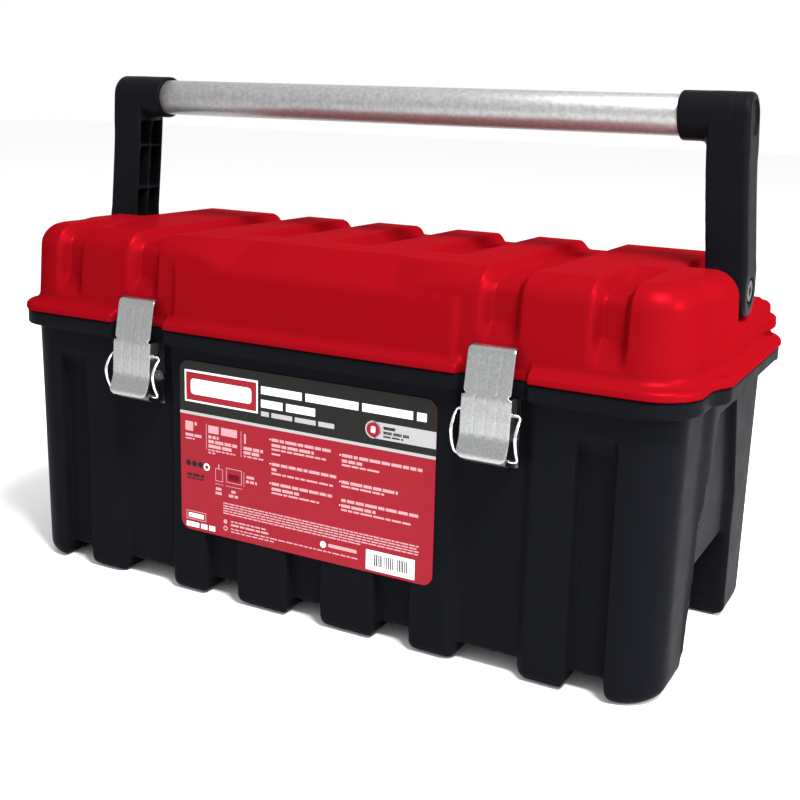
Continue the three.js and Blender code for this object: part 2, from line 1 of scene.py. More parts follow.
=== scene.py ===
import math
import bpy
import bmesh
import numpy as np
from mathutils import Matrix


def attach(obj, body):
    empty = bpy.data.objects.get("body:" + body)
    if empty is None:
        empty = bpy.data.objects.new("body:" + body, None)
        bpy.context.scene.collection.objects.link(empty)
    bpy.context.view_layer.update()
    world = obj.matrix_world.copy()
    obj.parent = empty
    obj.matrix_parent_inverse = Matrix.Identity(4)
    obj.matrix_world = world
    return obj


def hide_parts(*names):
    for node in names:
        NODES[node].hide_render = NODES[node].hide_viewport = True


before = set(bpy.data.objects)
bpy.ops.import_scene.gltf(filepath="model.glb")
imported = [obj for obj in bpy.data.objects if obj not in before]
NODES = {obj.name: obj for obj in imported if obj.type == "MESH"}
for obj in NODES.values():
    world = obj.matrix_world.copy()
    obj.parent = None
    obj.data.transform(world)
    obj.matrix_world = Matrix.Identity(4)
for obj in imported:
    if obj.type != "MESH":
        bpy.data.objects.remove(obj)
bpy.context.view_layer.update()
import openvdb
from mathutils import Matrix, Vector

YS = 4.05            # mm from the measuring frame to the row frame, along y


# ------------------------------------------------------------------ distance field helpers (mm)
def smax(a, b, r):
    u, v = a + r, b + r
    return np.sqrt(np.maximum(u, 0) ** 2 + np.maximum(v, 0) ** 2) + np.minimum(np.maximum(u, v), 0) - r


def smin(a, b, r):
    return -smax(-a, -b, r)


def step(t, a, b):
    s = np.clip((t - a) / (b - a), 0.0, 1.0)
    return s * s * (3 - 2 * s)


def ramp(t, a, b):
    s = np.clip((t - a) / (b - a), 0.0, 1.0)
    e = 0.05
    return np.where(s < e, s * s / (2 * e * (1 - e)), np.where(s > 1 - e, 1 - (1 - s) ** 2 / (2 * e * (1 - e)), (s - e / 2) / (1 - e)))


def band(t, a, b, w):
    return step(t, a - w / 2, a + w / 2) * (1 - step(t, b - w / 2, b + w / 2))


def plan2(ax, y, yf, yr, xf, xr, rf, rr, s0, s1):
    w = xf + (xr - xf) * step(y, s0, s1)
    return smax(smax(ax - w, yf - y, rf), y - yr, rr)


def tri_plane(p1, p2, p3, outside):
    p1, p2, p3 = (np.array(p, float) for p in (p1, p2, p3))
    n = np.cross(p2 - p1, p3 - p1)
    n /= np.linalg.norm(n)
    if np.dot(n, np.array(outside, float) - p1) < 0:
        n = -n
    d = float(np.dot(n, p1))
    return lambda x, y, z: n[0] * x + n[1] * y + n[2] * z - d


def sd_box(x, y, z, lo, hi, r):
    cx, cy, cz = [(a + b) / 2 for a, b in zip(lo, hi)]
    hx, hy, hz = [(b - a) / 2 for a, b in zip(lo, hi)]
    f = smax(np.abs(x - cx) - hx, np.abs(y - cy) - hy, r)
    return smax(f, np.abs(z - cz) - hz, r)


def gradient(f, p, eps=0.3):
    x, y, z = p[:, 0], p[:, 1], p[:, 2]
    g = np.stack([f(x + eps, y, z) - f(x - eps, y, z), f(x, y + eps, z) - f(x, y - eps, z), f(x, y, z + eps) - f(x, y, z - eps)], 1)
    n = np.linalg.norm(g, axis=1, keepdims=True)
    return g / (2 * eps), g / np.maximum(n, 1e-9)


def field_mesh(name, f, lo, hi, h, adapt, mat, refine=2):
    """Meshes f = 0 on a grid of spacing h, pulls the points onto the surface and gives it exact normals."""
    lo = np.array(lo, float)
    n = [int(math.ceil((b - a) / h)) + 1 for a, b in zip(lo, hi)]
    gy, gz = np.meshgrid(lo[1] + h * np.arange(n[1]), lo[2] + h * np.arange(n[2]), indexing="ij")
    vol = np.empty(n, np.float32)
    for i in range(n[0]):
        vol[i] = f(np.full_like(gy, lo[0] + h * i), gy, gz)
    vol = np.clip(vol, -3 * h, 3 * h)
    grid = openvdb.FloatGrid(3 * h)
    grid.copyFromArray(vol)
    pts, tris, quads = grid.convertToPolygons(isovalue=0.0, adaptivity=adapt)
    p = pts.astype(float) * h + lo
    for _ in range(refine):
        g, _n = gradient(f, p, 0.25)
        d = f(p[:, 0], p[:, 1], p[:, 2])
        gg = np.maximum((g * g).sum(1), 0.25)
        p -= np.clip(d / gg, -0.6 * h, 0.6 * h)[:, None] * g
    me = bpy.data.meshes.new(name)
    nt, nq = len(tris), len(quads)
    loops = np.concatenate([tris.ravel(), quads.ravel()]).astype(np.int32)
    sizes = np.concatenate([np.full(nt, 3), np.full(nq, 4)]).astype(np.int32)
    starts = np.concatenate([[0], np.cumsum(sizes)[:-1]]).astype(np.int32)
    me.vertices.add(len(p))
    me.vertices.foreach_set("co", to_row(p).astype(np.float32).ravel())
    me.loops.add(len(loops))
    me.loops.foreach_set("vertex_index", loops)
    me.polygons.add(len(sizes))
    me.polygons.foreach_set("loop_start", starts)
    me.update(calc_edges=True)
    me.validate()
    # normals: from the field at each vertex, or just inside the face where the surface has a crease
    nl = len(me.loops)
    lv = np.empty(nl, np.int32)
    me.loops.foreach_get("vertex_index", lv)
    ps = np.empty(len(me.polygons), np.int32)
    me.polygons.foreach_get("loop_start", ps)
    pt = np.empty(len(me.polygons), np.int32)
    me.polygons.foreach_get("loop_total", pt)
    owner = np.repeat(np.arange(len(ps)), pt)
    cen = np.zeros((len(ps), 3))
    np.add.at(cen, owner, p[lv])
    cen /= pt[:, None]
    _, vn = gradient(f, p, 0.3)
    inner = p[lv] * 0.8 + cen[owner] * 0.2
    _, cn = gradient(f, inner, 0.2)
    n0 = vn[lv]
    sharp = (n0 * cn).sum(1) < 0.93
    n0[sharp] = cn[sharp]
    me.polygons.foreach_set("use_smooth", np.ones(len(ps), bool))
    me.normals_split_custom_set(n0.astype(np.float32).tolist())
    me.materials.append(mat)
    ob = bpy.data.objects.new(name, me)
    bpy.context.scene.collection.objects.link(ob)
    return ob


def to_row(p):
    q = np.array(p, float)
    q = q.copy()
    q[..., 1] += YS
    return q * 0.001


def mesh_object(name, verts, faces, mats, smooth=True, mat_index=None):
    me = bpy.data.meshes.new(name)
    me.from_pydata([tuple(v) for v in to_row(np.array(verts, float))], [], faces)
    for m in (mats if isinstance(mats, list) else [mats]):
        me.materials.append(m)
    if mat_index is not None:
        me.polygons.foreach_set("material_index", mat_index)
    me.polygons.foreach_set("use_smooth", [smooth] * len(me.polygons))
    me.update()
    ob = bpy.data.objects.new(name, me)
    bpy.context.scene.collection.objects.link(ob)
    return ob


def bevel(ob, width, segments=2, angle=30):
    m = ob.modifiers.new("edge", "BEVEL")
    m.width = width * 0.001
    m.segments = segments
    m.limit_method = "ANGLE"
    m.angle_limit = math.radians(angle)
    m.harden_normals = True
    return m


def join(name, obs):
    bpy.ops.object.select_all(action="DESELECT")
    for o in obs:
        o.select_set(True)
    bpy.context.view_layer.objects.active = obs[0]
    bpy.ops.object.join()
    obs[0].name = name
    obs[0].data.name = name
    return obs[0]


# ------------------------------------------------------------------ materials
def material(name, base, rough, metal=0.0, spec=0.5, coat=0.0, coat_rough=0.2, bump=(), aniso=0.0):
    m = bpy.data.materials.new(name)
    m.use_nodes = True
    nt = m.node_tree
    b = nt.nodes["Principled BSDF"]
    b.inputs["Base Color"].default_value = (*base, 1)
    b.inputs["Roughness"].default_value = rough
    b.inputs["Metallic"].default_value = metal
    b.inputs["Specular IOR Level"].default_value = spec
    b.inputs["Coat Weight"].default_value = coat
    b.inputs["Coat Roughness"].default_value = coat_rough
    b.inputs["Anisotropic"].default_value = aniso
    co = nt.nodes.new("ShaderNodeTexCoord")
    last = None
    for scale, strength, dist in bump:
        n = nt.nodes.new("ShaderNodeTexNoise")
        n.inputs["Scale"].default_value = scale
        n.inputs["Detail"].default_value = 3
        nt.links.new(co.outputs["Object"], n.inputs["Vector"])
        bp = nt.nodes.new("ShaderNodeBump")
        bp.inputs["Strength"].default_value = strength
        bp.inputs["Distance"].default_value = dist
        nt.links.new(n.outputs["Fac"], bp.inputs["Height"])
        if last:
            nt.links.new(last.outputs["Normal"], bp.inputs["Normal"])
        last = bp
    if last:
        nt.links.new(last.outputs["Normal"], b.inputs["Normal"])
    return m, nt, b, co


def vary(nt, b, co, scale, lo, hi, socket="Roughness", detail=4, stretch=(1, 1, 1)):
    mp = nt.nodes.new("ShaderNodeMapping")
    mp.inputs["Scale"].default_value = stretch
    n = nt.nodes.new("ShaderNodeTexNoise")
    n.inputs["Scale"].default_value = scale
    n.inputs["Detail"].default_value = detail
    mr = nt.nodes.new("ShaderNodeMapRange")
    mr.inputs["From Min"].default_value = 0.3
    mr.inputs["From Max"].default_value = 0.7
    mr.inputs["To Min"].default_value = lo
    mr.inputs["To Max"].default_value = hi
    nt.links.new(co.outputs["Object"], mp.inputs["Vector"])
    nt.links.new(mp.outputs["Vector"], n.inputs["Vector"])
    nt.links.new(n.outputs["Fac"], mr.inputs["Value"])
    nt.links.new(mr.outputs["Result"], b.inputs[socket])
    return mr


def vary_color(nt, b, co, scale, c0, c1, detail=4, stretch=(1, 1, 1), p0=0.3, p1=0.7):
    mp = nt.nodes.new("ShaderNodeMapping")
    mp.inputs["Scale"].default_value = stretch
    n = nt.nodes.new("ShaderNodeTexNoise")
    n.inputs["Scale"].default_value = scale
    n.inputs["Detail"].default_value = detail
    cr = nt.nodes.new("ShaderNodeValToRGB")
    cr.color_ramp.elements[0].position = p0
    cr.color_ramp.elements[0].color = (*c0, 1)
    cr.color_ramp.elements[1].position = p1
    cr.color_ramp.elements[1].color = (*c1, 1)
    nt.links.new(co.outputs["Object"], mp.inputs["Vector"])
    nt.links.new(mp.outputs["Vector"], n.inputs["Vector"])
    nt.links.new(n.outputs["Fac"], cr.inputs["Fac"])
    nt.links.new(cr.outputs["Color"], b.inputs["Base Color"])


RED, nt, b, co = material("lid_red", (0.195, 0.0022, 0.0052), 0.34, metal=0.22, spec=0.0, bump=[(2600, 0.04, 0.0003)])
b.inputs["Specular Tint"].default_value = (1.0, 0.12, 0.18, 1)
vary(nt, b, co, 90, 0.34, 0.39)
BLACK, nt, b, co = material("tub_black", (0.0048, 0.0051, 0.0067), 0.40, spec=0.007, bump=[(2600, 0.06, 0.0004)])
vary(nt, b, co, 60, 0.38, 0.45)
ARM, nt, b, co = material("arm_black", (0.0042, 0.0042, 0.0056), 0.42, spec=0.02, bump=[(2200, 0.08, 0.0004)])
vary(nt, b, co, 60, 0.38, 0.46)
TUBE, nt, b, co = material("tube_satin", (0.40, 0.40, 0.40), 0.40, metal=0.75, bump=[(500, 0.10, 0.0003)])
vary_color(nt, b, co, 420, (0.26, 0.26, 0.265), (0.36, 0.36, 0.365), detail=4)
ZINC, nt, b, co = material("latch_zinc", (0.60, 0.61, 0.61), 0.34, metal=1.0, bump=[(420, 0.06, 0.0005)])
vary_color(nt, b, co, 900, (0.28, 0.285, 0.285), (0.38, 0.385, 0.385), detail=3)
STEEL, nt, b, co = material("wire_steel", (0.66, 0.67, 0.68), 0.22, metal=1.0, bump=[(500, 0.03, 0.0004)])
vary(nt, b, co, 300, 0.18, 0.28)
# latch bracket metal: its colour is darkened to paint in the shadow it sits in and the black tub it reflects
DARK, nt, b, co = material("bracket_painted_shade", (0.10, 0.10, 0.105), 0.35, metal=1.0, bump=[(500, 0.04, 0.0004)])
vary(nt, b, co, 200, 0.3, 0.4)
PIN, nt, b, co = material("pin_dark", (0.03, 0.03, 0.033), 0.4, metal=0.6, bump=[(700, 0.03, 0.0004)])
vary(nt, b, co, 200, 0.35, 0.45)
TRAYM, nt, b, co = material("tray_black", (0.0070, 0.0073, 0.0085), 0.45, spec=0.12, bump=[(2200, 0.06, 0.0004)])
vary(nt, b, co, 60, 0.4, 0.5)


def film(name, c, rough=0.32):
    m, nt, b, co = material(name, c, rough, spec=0.1, bump=[(1500, 0.02, 0.0003)])
    vary(nt, b, co, 120, rough - 0.03, rough + 0.03)
    return m


L_RED = film("film_red", (0.235, 0.0062, 0.0150))
L_DARK = film("film_dark", (0.0085, 0.0085, 0.0080))
L_GREY = film("film_grey", (0.34, 0.34, 0.34))
L_WHITE = film("film_white", (0.82, 0.82, 0.82))
L_INK = film("film_ink", (0.006, 0.006, 0.006))
L_LIGHTRED = film("film_pale_red", (0.50, 0.25, 0.27))

# ------------------------------------------------------------------ lid
facet = tri_plane((54, -80, 208), (53, -98.6, 191.4), (70, -93.0, 200.5), (0, -98, 208))


def lid_body(x, y, z, g=0.0):
    ax = np.abs(x)
    wall = plan2(ax, y, -97.0, 88.0, 203.0, 209.0, 24, 26, -60, -40) + np.clip(z - 167, 0, 45) * 0.055
    f = smax(wall, z - 208, 13)
    f = smax(f, ((y - 62) * 41 + (z - 208) * 24.5) / 47.76, 6)
    # pocket round each arm, with the shoulder behind it and the low ring behind that
    slope = ((y - 47) * 19.5 + (z - 186.6) * 13) / 23.4
    shoulder = smax(smax(z - 187.6, slope, 7), 15.6 - y, 4)
    q = smin(z - 180.9, shoulder, 4)
    keep = smin(smin(ax - 178.4, q, 4), y + 15.2, 3)
    f = smax(f, keep, 2.5)
    # low ring round the rear corner
    if g == 0.0:
        f = f - 3.2 * band(z, 166.5, 173.5, 2.5) * step(y, 34, 60) * step(ax, 150, 185)
    # front wall stands slightly proud between the latches
    d = -1.4 * (1 - step(ax, 86, 90)) * (1 - step(y, -92, -84)) * (1 - step(z, 189, 196)) * step(z, 160, 166)
    # grooves in the front wall, and the channels of the top
    d = d + 6.8 * band(ax, 158.6 - g, 173.4 + g, 5.5) * ramp(z, 166.5 - g, 180.8) * (1 - ramp(y, -60, -30))
    d = d + 6.6 * band(ax, 102 - 3.0 * step(y, -86, -60) - g, 119.5 + 3 * step(y, -86, -60) + g, 6.5) * ramp(z, 170.0 - g, 183) * (1 - 0.2 * step(y, -84, -64))
    ch = step(y, -57, -20) * step(z, 168, 178)
    d = d + 5.2 * ch * (band(ax, 44.5 - g, 67 + g, 5) + (1 - step(ax, 9.5 + g, 14.5 + g)))
    f = f + d
    ch_pl = (-(y + 78.5) * 15.9 + (z - 207.6) * 19.5) / 25.16
    f = smax(f, np.minimum(ch_pl, facet(ax, y, z)), 1.6)
    return f


def lid_field(x, y, z):
    ax = np.abs(x)
    f = lid_body(x, y, z)
    notch = band(ax, 92.3, 128.4, 3)
    yf = -103.4 + 5.4 * notch * (1 - step(y, -80, -60))
    rim = plan2(ax, y, yf, 94.0, 209.5, 215.5, 26, 30, -66, -48)
    rim = smax(rim, z - 161.2, 3.2)
    u = smin(f, rim, 5.5 - 4.5 * notch * (1 - step(y, -80, -60)))
    # relief for the hinge knuckles
    rel = 6.0 - np.sqrt((y - 98.0) ** 2 + (z - 156.05) ** 2)
    u = np.where(ax < 158.4, np.maximum(u, rel), u)
    u = smax(u, 156.2 - z, 0.8)
    return np.maximum(u, -(np.maximum(lid_body(x, y, z, 2.4), 150 - z) + 2.4))


def knuckle_mesh(name, upper, mat):
    bm = bmesh.new()
    w = 315.0 / 9
    for i in range(9):
        if (i % 2 == 1) != upper:
            continue
        a, c = -157.5 + i * w + 0.3, -157.5 + (i + 1) * w - 0.3
        ret = bmesh.ops.create_cone(bm, cap_ends=True, segments=32, radius1=0.0055, radius2=0.0055, depth=(c - a) * 0.001)
        bmesh.ops.transform(bm, verts=ret["verts"], matrix=Matrix.Translation((((a + c) / 2) * 0.001, (98 + YS) * 0.001, 0.15605)) @ Matrix.Rotation(math.pi / 2, 4, "Y"))
        z0, z1 = (156.2, 160.95) if upper else (151.15, 155.9)
        ret = bmesh.ops.create_cube(bm, size=1)
        bmesh.ops.transform(bm, verts=ret["verts"], matrix=Matrix.Translation((((a + c) / 2) * 0.001, (93.2 + YS) * 0.001, (z0 + z1) * 0.0005)) @ Matrix.Diagonal(((c - a) * 0.001, 0.0096, (z1 - z0) * 0.001, 1)))
    me = bpy.data.meshes.new(name)
    bm.to_mesh(me)
    bm.free()
    me.materials.append(mat)
    ob = bpy.data.objects.new(name, me)
    bpy.context.scene.collection.objects.link(ob)
    bevel(ob, 0.4, 2)
    return ob


lid = field_mesh("lid_moulding", lid_field, (-218, -106, 154), (218, 97, 210.5), 1.25, 0.02, RED)
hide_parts("lid_shell")
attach(lid, "lid")
kn = knuckle_mesh("lid_knuckles", True, RED)
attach(kn, "lid")

# ------------------------------------------------------------------ tub


def tub_body(x, y, z, g=0.0):
    ax = np.abs(x)
    t = np.clip((z - 9) / 138.6, -0.07, 1.0)
    yf, yr = -96.3 - 1.4 * t, 86.6 + 1.4 * t
    xf, xr = 199.6 + 2.4 * t, 202.8 + 1.7 * t
    wall = plan2(ax, y, yf, yr, xf, xr, 23, 23, -52, -34)
    front = 1 - step(y, -75, -60)
    rear = step(y, 52, 66)
    fr = front + rear
    d = 6.2 * band(ax, 154.3 - g, 173.6 + g, 2.2) * (1 - ramp(z, 123.5 + g, 134.5 + g)) * fr
    d = d + 6.2 * (band(ax, 45.2 - g, 65.8 + g, 2.2) + (1 - step(ax, 9.6 + g, 11.8 + g))) * (1 - ramp(z, 41 + g, 51 + g)) * fr
    d = d + 4.6 * step(ax, 87.5 - g, 95 - g) * (1 - step(ax, 125 + g, 133 + g)) * (front + 0.0) * (1 - step(z, 146.0, 147.5))
    d = d + 4.6 * step(ax, 87.5 - g, 95 - g) * (1 - step(ax, 125 + g, 133 + g)) * rear * (1 - step(z, 140.0, 147.5))
    # end panel between the corner posts
    ya = np.where(z > 78, -42 + (z - 78) * 17 / 56, -42.0 - np.clip((55 - z), 0, 55) * 4 / 55)
    yb = np.where(z > 78, 30 - (z - 78) * 17 / 56, 30.0 + np.clip((55 - z), 0, 55) * 3 / 55)
    end = step(y - ya, -1.6, 1.6) * (1 - step(y - yb, -1.6, 1.6)) * step(ax, 185, 192) * (1 - step(z, 131, 136))
    d = d + 4.2 * end
    f = wall + d
    f = smax(f, 9.0 - z, 4)
    # arch in each end
    arch = smax(smax(ya - y, y - yb, 5), z - 55.0, 6)
    arch = np.maximum(arch, 163.0 - ax)
    f = smax(f, -arch, 1.5)
    return f


def foot_field(ax, y, z, x0, x1, y0, y1, r):
    g = sd_box(ax, y, z, (x0, y0, 0), (x1, y1, 16), r)
    return g


def tub_field(x, y, z):
    ax = np.abs(x)
    body = tub_body(x, y, z)
    u = body
    t = np.clip((z - 9) / 138.6, -0.07, 1.0)
    wall = plan2(ax, y, -96.3 - 1.4 * t, 86.6 + 1.4 * t, 199.6 + 2.4 * t, 202.8 + 1.7 * t, 23, 23, -52, -34)
    lean = 4.6 * step(ax, 87.5, 95) * (1 - step(ax, 125, 133)) + 0.02
    for x0, x1 in ((127.0, 153.9), (66.2, 93.0), (11.0, 44.6)):
        for y0, y1 in ((-110, -70.3), (60.6, 100)):
            g = smax(np.abs(ax - (x0 + x1) / 2) - (x1 - x0) / 2, np.abs(y - (y0 + y1) / 2) - (y1 - y0) / 2, 3)
            g = smax(smax(g, wall + lean, 2.2), -z, 7.0)
            u = np.minimum(u, np.maximum(g, z - 34))
    for y0, y1 in ((-110, -46.6), (33.6, 100)):
        g = smax(174.2 - ax, np.abs(y - (y0 + y1) / 2) - (y1 - y0) / 2, 3)
        g = smax(smax(g, wall + 0.02, 2.2), -z, 7.5)
        u = np.minimum(u, np.maximum(g, z - 34))
    # rim flange, set back behind each latch
    notch = band(ax, 92.3, 128.4, 3) * (1 - step(y, -80, -60))
    yf = -102.4 + 4.5 * notch
    rim = plan2(ax, y, yf, 92.8, 208.5, 214.5, 25, 29, -66, -48)
    rim = smax(rim, np.abs(z - 151.75) - 4.15, 1.0)
    u = smin(u, rim, 1.5)
    rel = 6.0 - np.sqrt((y - 98.0) ** 2 + (z - 156.05) ** 2)
    u = np.where(ax < 158.4, np.maximum(u, rel), u)
    u = np.maximum(u, z - 155.9)
    hollow = tub_body(x, y, z, 2.6) + 2.4
    hollow = smax(hollow, 11.4 - z, 3)
    shelf = np.maximum(186.0 - ax, np.abs(z - 138.5) - 1.5)
    hollow = np.maximum(hollow, -shelf)
    return np.maximum(u, -hollow)


tub = field_mesh("tub_moulding", tub_field, (-217, -105, -2), (217, 96, 158), 1.3, 0.02, BLACK)
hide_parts("body_shell")
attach(tub, "case")
kn = knuckle_mesh("tub_knuckles", False, BLACK)
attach(kn, "case")


# ------------------------------------------------------------------ handle
def arm_field(s):
    def f(x, y, z):
        ax = x * s - (4.1 * np.clip((262 - z) / 56, 0, 1) ** 1.15 - 1.2 * np.clip((z - 268) / 24, 0, 1))
        # side outline: nearly straight bar, round at the pivot, rounded block at the tube
        half_f = 12.3 + 1.6 * (1 - step(z, 196, 214)) + 0.5 * step(z, 250, 284)
        bar = np.maximum(smax(np.abs(y) - half_f, z - 296.8, 11.6), 196 - z)
        low = np.sqrt(y * y + (z - 196) ** 2) - 13.9
        post = smax(smax(np.minimum(bar, low), ax - 205.2, 2.8), 183.7 - ax, 1.4)
        block = smax(np.abs(y) - 12.85, np.abs(z - 283.95) - 12.85, 11.6)
        block = smax(smax(block, ax - 196, 1), 168.1 - ax, 1.4)
        r = 0.3 + 11 * (1 - step(z, 262, 279))
        g = smin(post, block, r)
        bore = np.maximum(np.sqrt(y * y + (z - 283.9) ** 2) - 11.0, ax - 199.3)
        g = np.maximum(g, -bore)
        # open cells either side of the centre web, from the inner side
        for y0, y1 in ((-9.9, -0.7), (0.7, 9.9)):
            for z0, z1 in ((204.5, 224.2), (225.6, 252.0), (253.4, 268.6)):
                cell = sd_box(ax, y, z, (150, y0, z0), (202.0, y1, z1), 1.4)
                g = smax(g, -cell, 0.5)
        # dished end over the tube, and the pivot seat
        rec = smax(np.sqrt((y * 1.05) ** 2 + (z - 284.0) ** 2) - 9.0, 204.0 - ax, 0.4)
        g = smax(g, -rec, 0.6)
        seat = np.maximum(np.sqrt(y * y + (z - 196) ** 2) - 6.3, 202.5 - ax)
        g = smax(g, -seat, 0.5)
        hole = np.sqrt(y * y + (z - 196) ** 2) - 3.3
        return np.maximum(g, -hole)
    return f


for s, side in ((-1, "left"), (1, "right")):
    lo, hi = (165, -16, 179), (208, 16, 299)
    if s < 0:
        lo, hi = (-208, -16, 179), (-165, 16, 299)
    arm = field_mesh("arm_" + side, arm_field(s), lo, hi, 0.8, 0.02, ARM)
    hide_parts("handle_arm_" + side)
    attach(arm, "handle")
    NODES["handle_pivot_pin_" + side].data.materials.clear()
    NODES["handle_pivot_pin_" + side].data.materials.append(PIN)

# tube: a lathed pipe
verts, faces = [], []
N = 96
prof = [(-198.7, 9.3), (-199, 9.6), (-199, 10.5), (-198.7, 10.8), (198.7, 10.8), (199, 10.5), (199, 9.6), (198.7, 9.3)]
for px, pr in prof:
    for k in range(N):
        a = 2 * math.pi * k / N
        verts.append((px, pr * math.cos(a), 283.9 + pr * math.sin(a)))
M = len(prof)
for i in range(M):
    for k in range(N):
        j = (i + 1) % M
        faces.append((i * N + k, j * N + k, j * N + (k + 1) % N, i * N + (k + 1) % N))
tube = mesh_object("grip_tube", verts, faces, TUBE)
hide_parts("handle_tube")
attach(tube, "handle")

# ------------------------------------------------------------------ latches
PLATE = [(-98.75, 172.3), (-99.5, 172.1), (-100.7, 171.7), (-101.6, 171.0), (-102.25, 170.0), (-102.7, 168.4), (-104.3, 160.0), (-106.4, 148.9), (-106.75, 147.0), (-107.4, 137.0), (-107.75, 128.6), (-108.05, 126.8), (-108.9, 124.4), (-110.1, 121.9), (-110.95, 119.8), (-111.15, 118.4), (-110.95, 117.0)]


def half_width(z):
    if z > 170.2:
        return 12.6 - 0.9 * max(0.0, (z - 170.4) / 1.9) ** 2
    if z > 150.2:
        return 12.6
    if z > 147.6:
        return 12.6 - 1.3 * (1 - abs(z - 148.9) / 1.3)
    if z > 121.0:
        return 13.35
    return 13.35 - 3.2 * (1 - math.sqrt(max(0.0, 1 - ((121.0 - z) / 4.05) ** 2)))


def plate_rows():
    pts = []
    for i in range(len(PLATE) - 1):
        (y0, z0), (y1, z1) = PLATE[i], PLATE[i + 1]
        n = max(1, int(math.hypot(y1 - y0, z1 - z0) / 0.8))
        for k in range(n):
            t = k / n
            pts.append((y0 + (y1 - y0) * t, z0 + (z1 - z0) * t))
    pts.append(PLATE[-1])
    return pts


def latch_plate(cx, name):
    rows = plate_rows()
    cols = 41
    n = len(rows)
    verts, faces = [], []
    rows_n = []
    for i in range(n):
        a, c = rows[max(0, i - 1)], rows[min(n - 1, i + 1)]
        ty, tz = c[0] - a[0], c[1] - a[1]
        l = math.hypot(ty, tz)
        rows_n.append((tz / l, -ty / l))            # points to the front when going down
    for side in (0, 1):
        for i, (y, z) in enumerate(rows):
            ny, nz = rows_n[i]
            hw = half_width(z)
            for k in range(cols):
                u = -1 + 2 * k / (cols - 1)
                # three shallow upright grooves part the face into four bands
                g = 0.0
                if 127.0 < z < 168.5:
                    fade = min(1.0, (z - 127.0) / 2, (168.5 - z) / 3)
                    for gx in (-0.46, 0.0, 0.46):
                        g += 0.38 * math.exp(-((u - gx) * hw / 0.5) ** 2) * fade
                edge = 0.35 * max(0.0, (abs(u) - 0.93) / 0.07) ** 2
                off = -g - edge if side == 0 else -1.05
                # ny, nz points to the front
                verts.append((cx + u * hw, y + ny * (off) , z + nz * (off)))
    def vid(side, i, k):
        return side * n * cols + i * cols + k
    for i in range(n - 1):
        for k in range(cols - 1):
            faces.append((vid(0, i, k), vid(0, i + 1, k), vid(0, i + 1, k + 1), vid(0, i, k + 1)))
            faces.append((vid(1, i, k), vid(1, i, k + 1), vid(1, i + 1, k + 1), vid(1, i + 1, k)))
    for i in range(n - 1):
        faces.append((vid(0, i, 0), vid(1, i, 0), vid(1, i + 1, 0), vid(0, i + 1, 0)))
        faces.append((vid(0, i, cols - 1), vid(0, i + 1, cols - 1), vid(1, i + 1, cols - 1), vid(1, i, cols - 1)))
    for k in range(cols - 1):
        faces.append((vid(0, 0, k), vid(0, 0, k + 1), vid(1, 0, k + 1), vid(1, 0, k)))
        faces.append((vid(0, n - 1, k), vid(1, n - 1, k), vid(1, n - 1, k + 1), vid(0, n - 1, k + 1)))
    return mesh_object(name, verts, faces, ZINC)


def sweep(name, pts, r, mat, segs=16, bend=2.2, arc=6):
    """Round wire along a polyline with rounded bends."""
    pts = [np.array(p, float) for p in pts]
    path = [pts[0]]
    for i in range(1, len(pts) - 1):
        p0, p1, p2 = pts[i - 1], pts[i], pts[i + 1]
        d0, d1 = p0 - p1, p2 - p1
        c = min(bend, 0.45 * np.linalg.norm(d0), 0.45 * np.linalg.norm(d1))
        a = p1 + d0 / np.linalg.norm(d0) * c
        e = p1 + d1 / np.linalg.norm(d1) * c
        for k in range(arc + 1):
            t = k / arc
            path.append((1 - t) ** 2 * a + 2 * t * (1 - t) * p1 + t * t * e)
    path.append(pts[-1])
    verts, faces = [], []
    up = None
    for i, p in enumerate(path):
        a, c = path[max(0, i - 1)], path[min(len(path) - 1, i + 1)]
        t = (c - a) / np.linalg.norm(c - a)
        if up is None:
            up = np.cross(t, (0.3, 0.9, 0.1))
        up = up - t * np.dot(up, t)
        up /= np.linalg.norm(up)
        w = np.cross(t, up)
        for k in range(segs):
            an = 2 * math.pi * k / segs
            verts.append(p + r * (math.cos(an) * up + math.sin(an) * w))
    n = len(path)
    for i in range(n - 1):
        for k in range(segs):
            faces.append((i * segs + k, i * segs + (k + 1) % segs, (i + 1) * segs + (k + 1) % segs, (i + 1) * segs + k))
    faces.append(tuple(range(segs - 1, -1, -1)))
    faces.append(tuple((n - 1) * segs + k for k in range(segs)))
    return mesh_object(name, verts, faces, mat)


